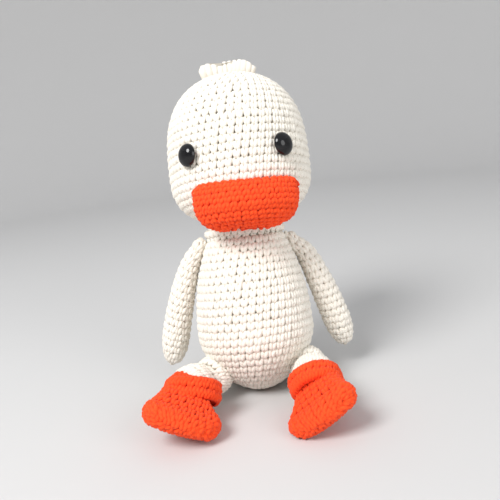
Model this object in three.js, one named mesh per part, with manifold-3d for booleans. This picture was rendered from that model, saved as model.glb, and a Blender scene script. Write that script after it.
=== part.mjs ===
// Crocheted duck, a stuffed toy that sits leaning back with its boots in front of it.
// Millimetres, +Z up. The duck faces -Y, and its own left side is +X.
// The origin is the middle of the flat that it sits on, under the body.

import * as THREE from 'three';
import { mergeVertices } from 'three/addons/utils/BufferGeometryUtils.js';
import { ConvexGeometry } from 'three/addons/geometries/ConvexGeometry.js';
import Module from 'manifold-3d';

const wasm = await Module();
wasm.setup();

// Fabric, and the fits that all pieces share

const fabric = 3.0;            // thickness of the crocheted cover of body and head
const limbFabric = 2.2;        // thickness of the covers of beak, wings, legs and boots
const gap = 0.3;               // clearance between neighbouring pieces
const seamClearance = 0.35;    // clearance of the yarn seams in their pockets
const turnClearance = 0.55;    // clearance of pieces whose flat facets turn past one another
const overrun = 300.0;         // size of a cutting block

// Body, measured along its leaning axis from the lowest point of its uncut form

const leanDeg = 12;
const bodyRadius = 32.5;
const bodyWidestHeight = 34.0;
const bodyFrontPower = 1.7;    // lower half, in front: drawn in towards a point
const bodyBackPower = 3.0;     // lower half, behind: sat out flat
const bodyTaperPower = 2.2;
const neckHeight = 88.0;
const neckRadius = 20.8;
const neckOpeningRadius = 9.0;
const bodyForward = 8.0;       // how far in front of the seat's middle the axis passes
const bodySink = 3.2;          // lowest point of the uncut form below the seat's middle

// Head, measured along its axis from the neck's pivot

const headLeanDeg = 2.4;       // further back than the body
const headRadius = 39.6;
const headWidestHeight = 33.5;
const headPoleHeight = 4.6;     // where the curve of the lower half would close
const headLowerPower = 2.64;
const headUpperHeight = 54.6;
const headUpperPower = 3.1;
const headUpperRoot = 2.05;     // smaller than the power, which makes the crown more pointed
const headRimHeight = 7.0;
const headSideShift = 1.2;     // the head is sewn a little towards the duck's left
const neckSeamWidth = 1.3;
const neckSeamThickness = 1.4;

// Eyes: round domes on a shank that a washer holds inside the head

const eyeRadius = 6.0;
const eyeDomeHeight = 4.4;
const eyeHeight = 39.6;
const eyeSpreadDeg = 36.5;
const eyeTurnDeg = -2;
const eyeShankRadius = 1.75;
const eyeShankLength = 9.0;
const eyeWasherRadius = 5.6;
const eyeWasherThickness = 1.5;
const eyeWasherSeat = 2.4;     // behind the cover, whose curve the flat washer has to clear

// Beak: a stuffed pouch sewn to the front of the head along its top edge

const beakHalfWidth = 26.8;
const beakHalfDepth = 11.0;
const beakTopHeight = 24.6;
const beakDrop = 1.8;          // lower edge below the neck's pivot
const beakForward = 37.0;
const beakSideShift = 1.4;
const beakBendRadius = 51.5;

// Crest: a ruffled strip across the crown

const crestLength = 33.0;
const crestRise = 8.0;
const crestThickness = 3.2;
const crestWave = 2.3;
const crestRuffles = 3;

// Wings: long drops that hang from the shoulders, measured from the shoulder

const shoulderReach = 6.8;     // beyond the neck's radius
const shoulderForward = 0.6;   // in front of the neck's pivot
const shoulderDrop = 4.4;      // below the neck's pivot
const shoulderSeamRadius = 3.4;
const shoulderSeamThickness = 1.7;
const wingRootRadius = 4.2;
const wingRadius = 8.3;
const wingReach = 24.0;
const wingDrop = 66.8;
const wingForward = 0.8;
const wingBowReach = 13.8;     // the point that bows the wing outwards
const wingBowDrop = 27.6;
const wingOpeningRadius = 1.5;

// Legs: short tubes that come out low at the front of the body

const hipSide = 25.0;
const hipForward = 16.5;
const hipHeight = 14.0;
const hipSeamRadius = 4.4;
const hipSeamThickness = 2.0;
const legRadius = 11.2;
const legCreaseRadius = 7.6;
const legCreaseDistance = 8.2;
const legLength = 18.0;
const legRiseDeg = 6.5;

// Boots: flat-soled wedge feet with a folded cuff, measured from the cuff's middle

const cuffDistance = 23.5;
const cuffRadius = 14.8;
const cuffLength = 13.0;
const cuffRounding = 2.0;
const ankleRadius = 12.0;
const soleDrop = 13.9;
const heelRadius = 9.0;
const heelBack = 2.0;
const toeForward = 22.0;
const toeHalfWidth = 19.8;
const toeHalfLength = 9.6;
const toeHalfHeight = 7.4;
const toeCornerShare = 0.4;
const toeBulge = 3.4;          // how far the toe's middle stands out beyond its corners
const toeBulgeShare = 0.5;

const leftSide = {
  name: 'left', sign: 1, splayDeg: 7, yawDeg: -13, pitchDeg: 0, rollDeg: 38, cuffTiltDeg: 30,
};
const rightSide = {
  name: 'right', sign: -1, splayDeg: 37, yawDeg: -8, pitchDeg: 5, rollDeg: 26, cuffTiltDeg: 42,
};
const sides = [leftSide, rightSide];

const radians = THREE.MathUtils.degToRad;
const { lerp, smoothstep, mapLinear } = THREE.MathUtils;

// Frames: each sub-assembly has a group, and every shape is made in its group's frame

const duck = new THREE.Group();

function frame(parent, position, rotation = {}) {
  const group = new THREE.Group();
  group.position.set(...position);
  group.rotation.set(rotation.x ?? 0, rotation.y ?? 0, rotation.z ?? 0, 'ZXY');
  parent.add(group);
  group.updateWorldMatrix(true, false);
  return group;
}

const torso = frame(duck, [0, 0, 0], { x: -radians(leanDeg) });
const neck = frame(torso, [0, -bodyForward, neckHeight - bodySink]);
const head = frame(neck, [0, 0, 0], { x: -radians(headLeanDeg) });

const collar = neck.getWorldPosition(new THREE.Vector3());
const shoulderSide = neckRadius + shoulderReach;

for (const side of sides) {
  const { sign } = side;
  side.shoulder = frame(duck, [sign * shoulderSide, collar.y - shoulderForward, collar.z - shoulderDrop]);
  side.hip = frame(duck, [sign * hipSide, -hipForward, hipHeight]);
  side.leg = frame(side.hip, [0, 0, 0], { z: sign * radians(side.splayDeg), x: -radians(legRiseDeg) });
  side.cuff = frame(side.leg, [0, -cuffDistance, 0], { x: radians(legRiseDeg + side.cuffTiltDeg) });
  const ankle = side.cuff.getWorldPosition(new THREE.Vector3()).toArray();
  side.boot = frame(duck, ankle, {
    z: sign * radians(side.yawDeg),
    x: -radians(side.pitchDeg),
    y: -sign * radians(side.rollDeg),
  });
}

// Solids

function solidOf(geometry) {
  const bare = geometry.clone();
  for (const name of ['normal', 'uv']) {
    if (bare.attributes[name]) bare.deleteAttribute(name);
  }
  const merged = mergeVertices(bare);
  return new wasm.Manifold(new wasm.Mesh({
    numProp: 3,
    vertProperties: new Float32Array(merged.attributes.position.array),
    triVerts: new Uint32Array(merged.index.array),
  }));
}

function geometryOf(solid) {
  const mesh = solid.getMesh();
  const geometry = new THREE.BufferGeometry();
  geometry.setAttribute('position', new THREE.BufferAttribute(mesh.vertProperties, 3));
  geometry.setIndex(new THREE.BufferAttribute(mesh.triVerts, 1));
  geometry.computeVertexNormals();
  return geometry;
}

// The same solid, made in one group's frame and wanted in another's.
function carried(solid, from, to) {
  const matrix = to.matrixWorld.clone().invert().multiply(from.matrixWorld);
  return solid.transform(matrix.elements);
}

// Points round a turn, from a function of the angle.
function ringOf(count, pointAt) {
  return Array.from({ length: count }, (_, i) => pointAt((i / count) * 2 * Math.PI));
}

// A closed skin over rings of equally many points, each end closed to its middle.
function skinOver(rings) {
  const count = rings[0].length;
  const points = rings.flat();
  const index = [];
  for (let start = 0; start < count * (rings.length - 1); start += count) {
    for (let i = 0; i < count; i++) {
      const a = start + i;
      const b = start + (i + 1) % count;
      index.push(a, b, b + count, a, b + count, a + count);
    }
  }
  const closeEnd = (ring, start, turned) => {
    const middle = points.length;
    points.push(ring.reduce((sum, point) => sum.add(point), new THREE.Vector3()).divideScalar(count));
    for (let i = 0; i < count; i++) {
      const a = start + i;
      const b = start + (i + 1) % count;
      index.push(...(turned ? [b, a, middle] : [a, b, middle]));
    }
  };
  closeEnd(rings[0], 0, true);
  closeEnd(rings[rings.length - 1], count * (rings.length - 1), false);
  const geometry = new THREE.BufferGeometry().setFromPoints(points);
  geometry.setIndex(index);
  return solidOf(geometry);
}

const ball = (radius, segments = 16, rows = 10) => solidOf(new THREE.SphereGeometry(radius, segments, rows));

function block(x, y, z) {
  const geometry = new THREE.BoxGeometry(overrun, overrun, overrun);
  geometry.translate(x, y, z);
  return solidOf(geometry);
}

// Everything lower than a level of the ground, in the duck's frame.
const ground = (level) => block(0, 0, level - overrun / 2);

// The value at a share along a table of pairs of share and value.
function along(table, share) {
  const next = table.findIndex(([place]) => place >= share);
  if (next < 1) return table[0][1];
  return mapLinear(share, table[next - 1][0], table[next][0], table[next - 1][1], table[next][1]);
}

// Body form, in the torso's frame, drawn in by an inset

const hollowSegments = 14;
const bodyLowerShares = [0.01, 0.06, 0.15, 0.29, 0.48, 0.72, 1];
const bodyUpperShares = [0.35, 0.65, 0.85, 1];
const domeElevationsDeg = [24, 50, 80];

const bodyTurnShares = [-0.1, 0.9];

function bodyLowerRadiusAt(share, angle) {
  const behind = smoothstep(Math.sin(angle), ...bodyTurnShares);
  const power = lerp(bodyFrontPower, bodyBackPower, behind);
  return bodyRadius * Math.pow(1 - Math.pow(1 - share, power), 1 / power);
}

function bodyForm(inset, segments = 20) {
  const level = (z, radiusAt) => ringOf(segments, (angle) => {
    const r = radiusAt(angle);
    return new THREE.Vector3(r * Math.cos(angle), r * Math.sin(angle) - bodyForward, z - bodySink);
  });
  const narrowed = 1 - inset / bodyRadius;
  const lower = bodyLowerShares.map((share) =>
    level(lerp(inset, bodyWidestHeight, share), (angle) => bodyLowerRadiusAt(share, angle) * narrowed));
  const upper = bodyUpperShares.map((share) => {
    const r = lerp(bodyRadius, neckRadius, Math.pow(share, bodyTaperPower)) - inset;
    return level(lerp(bodyWidestHeight, neckHeight, share), () => r);
  });
  const dome = domeElevationsDeg.map((elevationDeg) => {
    const elevation = radians(elevationDeg);
    const r = neckRadius - inset;
    return level(neckHeight + r * Math.sin(elevation), () => r * Math.cos(elevation));
  });
  return skinOver([...lower, ...upper, ...dome]);
}

const seatCut = (inset) => carried(ground(inset), duck, torso);

const hipDimple = (side, clearance) => carried(ball(legRadius + clearance), side.hip, torso);

// A seam's disc, or the pocket that it turns in, along X from its pivot towards the body.
function seamPost(side, radius, from, to) {
  const geometry = new THREE.CylinderGeometry(radius, radius, to - from, 12);
  geometry.rotateZ(Math.PI / 2);
  geometry.translate(-side.sign * (from + to) / 2, 0, 0);
  return solidOf(geometry);
}

const hipSeamStart = legRadius + gap;
const hipSeamEnd = hipSeamStart + hipSeamThickness;
const shoulderSeamStart = wingRootRadius + gap;
const shoulderSeamEnd = shoulderSeamStart + shoulderSeamThickness;

const hipSeam = (side) => seamPost(side, hipSeamRadius, hipSeamStart, hipSeamEnd);
const shoulderSeam = (side) => seamPost(side, shoulderSeamRadius, shoulderSeamStart, shoulderSeamEnd);

function bodyCover() {
  let cover = bodyForm(0).subtract(seatCut(0));
  let hollow = bodyForm(fabric, hollowSegments).subtract(seatCut(fabric));
  for (const side of sides) {
    const hipPocket = seamPost(side, hipSeamRadius + seamClearance, 0, hipSeamEnd + seamClearance);
    const shoulderPocket = seamPost(side, shoulderSeamRadius + seamClearance, 0,
      shoulderSeamEnd + seamClearance);
    cover = cover.subtract(hipDimple(side, turnClearance))
      .subtract(carried(hipPocket, side.hip, torso))
      .subtract(carried(shoulderPocket, side.shoulder, torso));
    hollow = hollow.subtract(hipDimple(side, turnClearance + fabric));
  }
  const neckReach = neckRadius + fabric;
  const neckOpening = new THREE.CylinderGeometry(neckOpeningRadius, neckOpeningRadius, neckReach, 16);
  neckOpening.rotateX(Math.PI / 2);
  neckOpening.translate(0, 0, neckReach / 2);
  return cover.subtract(hollow).subtract(carried(solidOf(neckOpening), neck, torso));
}

function bodyStuffing() {
  let filling = bodyForm(fabric + gap, hollowSegments).subtract(seatCut(fabric + gap));
  for (const side of sides) filling = filling.subtract(hipDimple(side, turnClearance + fabric + gap));
  return filling;
}

// Neck seam: the turn of yarn in the groove between body and head

function neckSeam() {
  const inner = neckRadius + turnClearance;
  const outer = inner + neckSeamWidth;
  const top = gap + neckSeamThickness;
  const outline = [[inner, gap], [outer, gap], [outer, top], [inner, top], [inner, gap]];
  const geometry = new THREE.LatheGeometry(outline.map(([r, z]) => new THREE.Vector2(r, z)), 24);
  geometry.rotateX(Math.PI / 2);
  return solidOf(geometry);
}

// Head form, in the head's frame

const headLowerShares = [0, 0.16, 0.45];
const headUpperShares = [0, 0.3, 0.54, 0.74, 0.89, 0.97];
const headCapShare = 0.3;

function headRadiusAt(height) {
  if (height < headWidestHeight) {
    const drop = (headWidestHeight - height) / (headWidestHeight - headPoleHeight);
    return headRadius * Math.pow(1 - Math.pow(drop, headLowerPower), 1 / headLowerPower);
  }
  const rise = (height - headWidestHeight) / headUpperHeight;
  return headRadius * Math.pow(1 - Math.pow(rise, headUpperPower), 1 / headUpperRoot);
}

function headForm(inset, segments = 20) {
  const top = headWidestHeight + headUpperHeight;
  const level = (z, r) => ringOf(segments, (angle) =>
    new THREE.Vector3(r * Math.cos(angle) + headSideShift, r * Math.sin(angle), z));
  const lower = headLowerShares.map((share) => {
    const r = headRadiusAt(lerp(headRimHeight, headWidestHeight, share)) - inset;
    return level(lerp(headRimHeight + inset, headWidestHeight, share), r);
  });
  const upper = headUpperShares.map((share) => {
    const r = headRadiusAt(lerp(headWidestHeight, top, share)) * (1 - inset / headRadius);
    return level(lerp(headWidestHeight, top - inset, share), r);
  });
  const last = headRadiusAt(lerp(headWidestHeight, top, headUpperShares.at(-1)));
  const cap = level(top - inset, headCapShare * last);
  return skinOver([...lower, ...upper, cap]);
}

const neckSocket = ball(neckRadius + turnClearance, 20, 12);

for (const side of sides) {
  const azimuth = radians(side.sign * eyeSpreadDeg + eyeTurnDeg);
  const reach = headRadiusAt(eyeHeight) + gap;
  const seat = [headSideShift + reach * Math.sin(azimuth), -reach * Math.cos(azimuth), eyeHeight];
  side.eye = frame(head, seat, { z: azimuth });
}

// A round post along the eye's axis, which is its frame's -Y.
function eyePost(radius, from, to, segments = 16) {
  const geometry = new THREE.CylinderGeometry(radius, radius, to - from, segments);
  geometry.translate(0, -(from + to) / 2, 0);
  return solidOf(geometry);
}

const washerFront = -(fabric + eyeWasherSeat);
const washerBack = washerFront - eyeWasherThickness;

function headCover() {
  let cover = headForm(0).subtract(headForm(fabric, hollowSegments)).subtract(neckSocket);
  for (const side of sides) {
    const hole = eyePost(eyeShankRadius + gap, -fabric - fabric, fabric, 12);
    cover = cover.subtract(carried(hole, side.eye, head));
  }
  return cover;
}

function headStuffing() {
  let filling = headForm(fabric + gap, hollowSegments).subtract(neckSocket);
  for (const side of sides) {
    const shankPocket = eyePost(eyeShankRadius + gap, -eyeShankLength - gap, 0, 12);
    const washerPocket = eyePost(eyeWasherRadius + gap, washerBack - gap, 0);
    filling = filling.subtract(carried(shankPocket.add(washerPocket), side.eye, head));
  }
  return filling;
}

function eye() {
  const outline = [[0, -eyeShankLength], [eyeShankRadius, -eyeShankLength], [eyeShankRadius, 0],
    [eyeRadius, 0]];
  const steps = 5;
  for (let step = 1; step < steps; step++) {
    const rise = (step / steps) * Math.PI / 2;
    outline.push([eyeRadius * Math.cos(rise), eyeDomeHeight * Math.sin(rise)]);
  }
  outline.push([0, eyeDomeHeight]);
  const geometry = new THREE.LatheGeometry(outline.map(([r, reach]) => new THREE.Vector2(r, reach)), 18);
  geometry.rotateX(Math.PI);
  return solidOf(geometry);
}

function eyeWasher() {
  const disc = eyePost(eyeWasherRadius, washerBack, washerFront);
  return disc.subtract(eyePost(eyeShankRadius + gap, washerBack - gap, washerFront + gap, 12));
}

// Beak form, in the head's frame: level ovals stacked from the lower edge up to the seam

const beakWidthShares = [[0, 0.44], [0.07, 0.68], [0.2, 0.87], [0.46, 0.98], [0.7, 1], [0.9, 0.96],
  [1, 0.88]];
const beakDepthShares = [[0, 0.22], [0.07, 0.5], [0.2, 0.8], [0.46, 1], [0.7, 0.9], [0.9, 0.64], [1, 0.36]];
const beakPlaceShares = [[0, 0.92], [0.14, 0.95], [0.28, 0.98], [0.46, 1], [1, 1]];
const beakThinnestShare = 0.1;
const beakSquareness = 0.8;

function beakForm(inset) {
  const rounded = (value) => Math.sign(value) * Math.pow(Math.abs(value), beakSquareness);
  const rings = beakWidthShares.map(([share, widthShare]) => {
    const halfWidth = beakHalfWidth * widthShare - inset;
    const depth = beakHalfDepth * along(beakDepthShares, share) - inset;
    const halfDepth = Math.max(depth, beakThinnestShare * beakHalfDepth);
    const place = beakForward * along(beakPlaceShares, share);
    return ringOf(16, (angle) => {
      const x = halfWidth * rounded(Math.cos(angle));
      const y = halfDepth * rounded(Math.sin(angle)) - place + (x * x) / (2 * beakBendRadius);
      const z = lerp(inset - beakDrop, beakTopHeight - inset, share);
      return new THREE.Vector3(x + headSideShift + beakSideShift, y, z);
    });
  });
  return skinOver(rings);
}

const besideHead = headForm(-gap);

const beakCover = () => beakForm(0).subtract(beakForm(limbFabric)).subtract(besideHead);

const beakStuffing = () => beakForm(limbFabric + gap).subtract(besideHead);

// Crest, in the head's frame: a waved strip that stands on the crown

const crestLobeShare = 0.18;
const crestEndShare = 0.3;
const crestRootShare = 0.55;

function crest() {
  const crown = headWidestHeight + headUpperHeight;
  const steps = 18;
  const half = crestThickness / 2;
  const rings = Array.from({ length: steps + 1 }, (_, step) => {
    const share = step / steps;
    const end = Math.pow(Math.abs(2 * share - 1), 3);
    const lobe = 1 - crestLobeShare * (1 - Math.abs(Math.cos(share * crestRuffles * Math.PI)));
    const low = crown - crestRise * (crestRootShare + crestEndShare * end);
    const high = crown + crestRise * (lobe - crestEndShare * end);
    const middle = crestWave * Math.sin(share * crestRuffles * 2 * Math.PI);
    const section = [[-half, low], [half, low], [half, high - half], [0, high], [-half, high - half]];
    const x = crestLength * (share - 0.5) + headSideShift;
    return section.map(([across, z]) => new THREE.Vector3(x, middle + across, z));
  });
  return skinOver(rings).subtract(besideHead);
}

// Wing form, in the shoulder's frame: a bowed drop from its round root to its tip

const wingRadiusShares = [[0, 0.506], [0.12, 0.6], [0.28, 0.75], [0.46, 0.89], [0.64, 0.98], [0.78, 1],
  [0.89, 0.86], [0.96, 0.58], [1, 0.14]];
const wingThinnestShare = 0.06;
const wingRootElevationsDeg = [78, 45];

function wingForm(side, inset) {
  const bow = new THREE.Vector3(side.sign * wingBowReach, -wingForward / 2, -wingBowDrop);
  const tip = new THREE.Vector3(side.sign * wingReach, -wingForward, -wingDrop);
  const line = new THREE.QuadraticBezierCurve3(new THREE.Vector3(), bow, tip);
  const ringAt = (middle, ahead, radius) => {
    const across = new THREE.Vector3(1, 0, 0).addScaledVector(ahead, -ahead.x).normalize();
    const other = new THREE.Vector3().crossVectors(ahead, across);
    return ringOf(10, (angle) => middle.clone()
      .addScaledVector(across, radius * Math.cos(angle))
      .addScaledVector(other, radius * Math.sin(angle)));
  };
  const start = line.getTangentAt(0);
  const rootRadius = wingRootRadius - inset;
  const root = wingRootElevationsDeg.map((elevationDeg) => {
    const elevation = radians(elevationDeg);
    const behind = start.clone().multiplyScalar(-rootRadius * Math.sin(elevation));
    return ringAt(behind, start, rootRadius * Math.cos(elevation));
  });
  const reach = 1 - inset / line.getLength();
  const drop = wingRadiusShares.map(([place]) => {
    const at = place * reach;
    const radius = wingRadius * along(wingRadiusShares, at) - inset;
    const atLeast = wingThinnestShare * wingRadius;
    return ringAt(line.getPointAt(at), line.getTangentAt(at), Math.max(radius, atLeast));
  });
  return skinOver([...root, ...drop]);
}

const wingShape = (side, inset) =>
  wingForm(side, inset).subtract(carried(bodyForm(-turnClearance - inset), torso, side.shoulder));

function wingCover(side) {
  const reach = wingRootRadius + limbFabric;
  const opening = new THREE.CylinderGeometry(wingOpeningRadius, wingOpeningRadius, reach, 10);
  opening.rotateX(Math.PI / 2);
  opening.translate(0, 0, reach / 2);
  return wingShape(side, 0).subtract(wingShape(side, limbFabric)).subtract(solidOf(opening));
}

// Leg form, in the leg's frame: a round root in the body's dimple, a crease, and a tube along -Y

const legRootShares = [-0.86, -0.55, -0.2, 0.15, 0.6];
const legSwellShares = [0, 0.5, 1];
const legFullShare = 0.85;

function legForm(inset) {
  const round = (radius, distance) => ringOf(12, (angle) =>
    new THREE.Vector3(radius * Math.cos(angle), -distance, radius * Math.sin(angle)));
  const rootRadius = legRadius - inset;
  const creaseAngle = Math.asin(legCreaseDistance / legRadius);
  const root = legRootShares.map((share) => {
    const angle = share * (share < 0 ? Math.PI / 2 : creaseAngle);
    return round(rootRadius * Math.cos(angle), rootRadius * Math.sin(angle));
  });
  const tube = legSwellShares.map((share) => {
    const radius = lerp(legCreaseRadius, legRadius, smoothstep(share, 0, 1)) - inset;
    return round(radius, lerp(legCreaseDistance, legFullShare * legLength, share));
  });
  return skinOver([...root, ...tube, round(rootRadius, legLength)]);
}

// Only what lies ahead of the crease is cut by the body: the root turns in its dimple and stays whole.
function legShape(side, inset) {
  const body = carried(bodyForm(-gap - inset), torso, side.leg);
  return legForm(inset).subtract(body.subtract(block(0, overrun / 2 - legCreaseDistance, 0)));
}

function legCover(side) {
  const bore = legRadius - limbFabric;
  const openEnd = new THREE.CylinderGeometry(bore, bore, limbFabric, 14);
  openEnd.translate(0, -legLength, 0);
  return legShape(side, 0).subtract(legShape(side, limbFabric)).subtract(solidOf(openEnd));
}

// Boot form, in the boot's frame: the hull of an ankle, a heel and a broad flat toe

function ovalPoints(middle, radii, segments) {
  const rows = 5;
  return Array.from({ length: rows + 1 }, (_, row) => (row / rows - 0.5) * Math.PI).flatMap((rise) =>
    ringOf(segments, (angle) => new THREE.Vector3(
      Math.cos(angle) * Math.cos(rise), Math.sin(angle) * Math.cos(rise), Math.sin(rise),
    ).multiply(radii).add(middle)));
}

function bootForm(inset) {
  const radii = (x, y, z) => new THREE.Vector3(x - inset, y - inset, z - inset);
  const toeMiddle = new THREE.Vector3(0, -toeForward, toeHalfHeight - soleDrop);
  const corner = toeCornerShare * toeHalfWidth;
  const corners = sides.flatMap(({ sign }) => ovalPoints(
    new THREE.Vector3(sign * (toeHalfWidth - corner), 0, 0).add(toeMiddle),
    radii(corner, toeHalfLength, toeHalfHeight), 12));
  const bulge = ovalPoints(toeMiddle.clone().add(new THREE.Vector3(0, -toeBulge, 0)),
    radii(toeBulgeShare * toeHalfWidth, toeHalfLength, toeHalfHeight), 12);
  const heelMiddle = new THREE.Vector3(0, heelBack, heelRadius - soleDrop);
  return solidOf(new ConvexGeometry([
    ...ovalPoints(new THREE.Vector3(), radii(ankleRadius, ankleRadius, ankleRadius), 12),
    ...ovalPoints(heelMiddle, radii(heelRadius, heelRadius, heelRadius), 10),
    ...corners,
    ...bulge,
  ]));
}

// The ankle starts where the leg ends.
const besideLeg = (side) => carried(block(0, overrun / 2 - legLength - gap, 0), side.leg, side.boot);
const underFoot = (side, inset) => carried(ground(inset), duck, side.boot);

function bootCover(side) {
  const hollow = bootForm(limbFabric).subtract(underFoot(side, limbFabric));
  return bootForm(0).subtract(underFoot(side, 0)).subtract(hollow).subtract(besideLeg(side));
}

function bootStuffing(side) {
  const inset = limbFabric + gap;
  return bootForm(inset).subtract(underFoot(side, inset)).subtract(besideLeg(side));
}

// Cuff: the folded ring round the joint of leg and boot, along its frame's Y

function bootCuff(side) {
  const half = cuffLength / 2;
  const shoulder = cuffRadius - cuffRounding;
  const straight = half - cuffRounding;
  const outline = [[0, -half], [shoulder, -half], [cuffRadius, -straight], [cuffRadius, straight],
    [shoulder, half], [0, half]];
  const ring = solidOf(new THREE.LatheGeometry(outline.map(([r, y]) => new THREE.Vector2(r, y)), 18));
  return ring.subtract(carried(legForm(-gap), side.leg, side.cuff))
    .subtract(carried(bootForm(-gap), side.boot, side.cuff))
    .subtract(carried(ground(0), duck, side.cuff));
}

// Materials and pieces

const yarn = (color) => () => new THREE.MeshStandardMaterial({ color, roughness: 0.9, metalness: 0 });
const creamYarn = yarn(0xe9e0cf);
const orangeYarn = yarn(0xf4511e);
const fibreFill = () => new THREE.MeshStandardMaterial({ color: 0xf3f1ec, roughness: 1, metalness: 0 });
const blackGloss = () => new THREE.MeshStandardMaterial({ color: 0x0b0b0c, roughness: 0.12, metalness: 0 });
const clearPlastic = () => new THREE.MeshStandardMaterial({ color: 0xd9dadb, roughness: 0.45, metalness: 0 });

function piece(group, name, solid, material) {
  const mesh = new THREE.Mesh(geometryOf(solid), material());
  mesh.name = name;
  group.add(mesh);
}

piece(torso, 'body_cover', bodyCover(), creamYarn);
piece(torso, 'body_stuffing', bodyStuffing(), fibreFill);
piece(neck, 'neck_seam', neckSeam(), creamYarn);
piece(head, 'head_cover', headCover(), creamYarn);
piece(head, 'head_stuffing', headStuffing(), fibreFill);
piece(head, 'beak_cover', beakCover(), orangeYarn);
piece(head, 'beak_stuffing', beakStuffing(), fibreFill);
piece(head, 'crest', crest(), creamYarn);

for (const side of sides) {
  piece(side.eye, `eye_${side.name}`, eye(), blackGloss);
  piece(side.eye, `eye_washer_${side.name}`, eyeWasher(), clearPlastic);
  piece(side.shoulder, `shoulder_seam_${side.name}`, shoulderSeam(side), creamYarn);
  piece(side.shoulder, `wing_${side.name}_cover`, wingCover(side), creamYarn);
  piece(side.shoulder, `wing_${side.name}_stuffing`, wingShape(side, limbFabric + gap), fibreFill);
  piece(side.hip, `hip_seam_${side.name}`, hipSeam(side), creamYarn);
  piece(side.leg, `leg_${side.name}_cover`, legCover(side), creamYarn);
  piece(side.leg, `leg_${side.name}_stuffing`, legShape(side, limbFabric + gap), fibreFill);
  piece(side.boot, `boot_${side.name}_cover`, bootCover(side), orangeYarn);
  piece(side.boot, `boot_${side.name}_stuffing`, bootStuffing(side), fibreFill);
  piece(side.cuff, `boot_${side.name}_cuff`, bootCuff(side), orangeYarn);
}

export default duck;
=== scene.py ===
# %% [markdown]
# # A crocheted duck
# The toy is worked in single crochet: cream cotton for the duck, orange cotton for its beak and boots.
# What makes it look handmade is the fabric itself, round upon round of small V-shaped stitches with a
# dark hole between each two. So the stitches here are real geometry and not a picture of stitches.
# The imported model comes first. It is the frame that every piece below has to fit.

# %% Load the frame
import math

import bmesh
import bpy
import numpy as np
from mathutils import Matrix, Vector


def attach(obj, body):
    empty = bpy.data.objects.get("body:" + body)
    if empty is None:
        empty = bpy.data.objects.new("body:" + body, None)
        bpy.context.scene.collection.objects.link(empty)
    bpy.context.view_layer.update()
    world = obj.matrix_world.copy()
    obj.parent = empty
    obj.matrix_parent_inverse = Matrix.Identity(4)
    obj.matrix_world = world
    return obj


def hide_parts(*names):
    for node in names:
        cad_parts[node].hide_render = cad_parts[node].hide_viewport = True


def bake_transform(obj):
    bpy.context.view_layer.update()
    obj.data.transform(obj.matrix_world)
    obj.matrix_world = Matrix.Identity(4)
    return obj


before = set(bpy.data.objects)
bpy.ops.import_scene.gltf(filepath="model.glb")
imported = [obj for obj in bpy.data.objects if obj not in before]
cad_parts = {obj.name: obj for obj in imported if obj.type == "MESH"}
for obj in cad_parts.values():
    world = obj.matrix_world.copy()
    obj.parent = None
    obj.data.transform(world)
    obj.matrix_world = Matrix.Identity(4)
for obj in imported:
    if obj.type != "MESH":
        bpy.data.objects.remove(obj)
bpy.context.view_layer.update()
MM = 0.001

# %% [markdown]
# ## The camera
# A camera is set up before anything else, so that each render can be laid beside the photograph. It was
# held a little above the duck's eyes, looked down on it, and was tilted sideways.

# %% Camera
CAMERA_PLACE = Vector((1.8, -316.0, 147.0)) * MM
CAMERA_DOWN = math.radians(12.6)
CAMERA_TILT = math.radians(6.5)
FOCAL_SHARE = 1.2          # focal length as a share of the picture's width
SENSOR_WIDTH = 36.0

ahead = Vector((0, math.cos(CAMERA_DOWN), -math.sin(CAMERA_DOWN)))
level_up = Vector((0, math.sin(CAMERA_DOWN), math.cos(CAMERA_DOWN)))
level_right = Vector((1, 0, 0))
camera_up = level_up * math.cos(CAMERA_TILT) + level_right * math.sin(CAMERA_TILT)
camera_right = level_right * math.cos(CAMERA_TILT) - level_up * math.sin(CAMERA_TILT)

camera = bpy.data.objects.new("camera", bpy.data.cameras.new("camera"))
camera.data.sensor_width = SENSOR_WIDTH
camera.data.lens = FOCAL_SHARE * SENSOR_WIDTH
axes = Matrix((camera_right, camera_up, -ahead)).transposed()
camera.matrix_world = Matrix.Translation(CAMERA_PLACE) @ axes.to_4x4()
bpy.context.scene.collection.objects.link(camera)
bpy.context.scene.camera = camera

# %% [markdown]
# ## Writing materials as sums
# A material is a little program of nodes. To keep it readable, a socket is wrapped in a small class,
# so that a sum written in Python adds the Math nodes that work it out.

# %% Sockets that can be added and multiplied
def add_node(tree, kind, sockets, **settings):
    """A node with its settings. Each of its sockets is linked, or given a value."""
    made = tree.nodes.new(kind)
    for key, value in settings.items():
        setattr(made, key, value)
    for key, value in sockets.items():
        value = value.socket if isinstance(value, Wire) else value
        value = value.outputs[0] if isinstance(value, bpy.types.Node) else value
        if isinstance(value, bpy.types.NodeSocket):
            tree.links.new(value, made.inputs[key])
        else:
            made.inputs[key].default_value = value
    return made


class Wire:
    """A socket of a material's tree that Python's operators work on."""

    def __init__(self, finish, socket):
        self.finish = finish
        self.socket = socket

    def maths(self, operation, *values):
        return self.finish.add("ShaderNodeMath", dict(enumerate(values)), operation=operation)

    def __add__(self, other):
        return self.maths("ADD", self, other)

    def __sub__(self, other):
        return self.maths("SUBTRACT", self, other)

    def __rsub__(self, other):
        return self.maths("SUBTRACT", other, self)

    def __mul__(self, other):
        return self.maths("MULTIPLY", self, other)

    def __pow__(self, other):
        return self.maths("POWER", self, other)

    __radd__ = __add__

    def sine(self):
        return self.maths("SINE", self)

    def size(self):
        return self.maths("ABSOLUTE", self)

    def held(self):
        return self.finish.add("ShaderNodeClamp", {"Value": self})


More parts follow.
